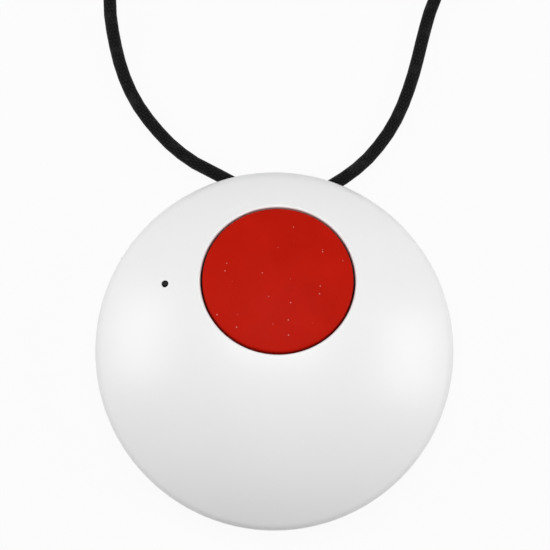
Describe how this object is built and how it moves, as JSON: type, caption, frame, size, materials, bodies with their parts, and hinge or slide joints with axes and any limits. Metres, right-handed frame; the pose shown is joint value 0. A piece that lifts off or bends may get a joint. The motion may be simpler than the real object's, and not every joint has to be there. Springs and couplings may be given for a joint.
{
  "type": "emergency pendant",
  "caption": "Domed round emergency call pendant with a large tilted push button, a small status light, a rear battery door and a thin neck cord threaded behind its rim.",
  "frame": {"origin": "centre of the round body on the plane that its flat back rests on", "axes": "+Z out of the domed front face, +Y from the middle towards the push button and the neck cord, +X to the right as seen from the front"},
  "size_m": [0.0602, 0.109, 0.018],
  "materials": {
    "white_shell": "glossy moulded white plastic",
    "white_back": "satin moulded white plastic",
    "door_plastic": "fine satin white plastic",
    "red_button": "satin red plastic with dust specks",
    "black_silicone": "matt black silicone",
    "grey_silicone": "matt grey silicone",
    "smoked_light_pipe": "smoked clear plastic",
    "green_laminate": "solder resist on glass laminate",
    "black_plastic": "matt black moulded plastic",
    "sheet_steel": "plated steel",
    "copper_wire": "enamelled copper wire",
    "ceramic_body": "matt ceramic with tinned ends",
    "led_body": "cast clear resin",
    "cord_satin": "fine black satin braid",
    "clasp_plastic": "black moulded plastic"
  },
  "bodies": {
    "housing": {"front_cover": "white_shell", "back_cover": "white_back", "cover_gasket": "grey_silicone", "light_pipe": "smoked_light_pipe", "circuit_board": "green_laminate", "switch_base": "black_plastic", "switch_frame": "sheet_steel", "controller_chip": "black_plastic", "radio_chip": "black_plastic", "crystal": "sheet_steel", "status_led": "led_body", "antenna_coil": "copper_wire", "capacitor_1": "ceramic_body", "capacitor_2": "ceramic_body", "capacitor_3": "ceramic_body", "capacitor_4": "ceramic_body", "resistor_1": "black_plastic", "resistor_2": "black_plastic", "resistor_3": "black_plastic", "battery_contact_negative": "sheet_steel", "battery_contact_positive": "sheet_steel", "coin_cell": "sheet_steel", "cover_screw_1": "sheet_steel", "cover_screw_2": "sheet_steel", "cover_screw_3": "sheet_steel", "cover_screw_4": "sheet_steel", "neck_cord": "cord_satin", "cord_hank": "cord_satin", "cord_tie": "clasp_plastic", "clasp_socket": "clasp_plastic", "clasp_plug": "clasp_plastic"},
    "button": {"emergency_button": "red_button", "button_seal": "black_silicone"},
    "switch_plunger": {"switch_plunger": "black_plastic"},
    "battery_door": {"battery_door": "door_plastic", "battery_door_seal": "grey_silicone"}
  },
  "joints": [
    {"name": "button_press", "type": "slide", "parent": "housing", "child": "button", "axis": [0, -0.2801, -0.96], "range_m": [0, 0.0005], "stiffness_N_per_m": 3000, "springref_m": -0.0002},
    {"name": "plunger_press", "type": "slide", "parent": "housing", "child": "switch_plunger", "axis": [0, 0, -1], "range_m": [0, 0.0005]},
    {"name": "battery_door_turn", "type": "hinge", "parent": "housing", "child": "battery_door", "pos_m": [0, 0, 0.001], "axis": [0, 0, -1], "range_deg": [0, 45]}
  ],
  "couplings": [
    {"joint": "plunger_press", "follows": "button_press", "ratio": 0.95997}
  ]
}
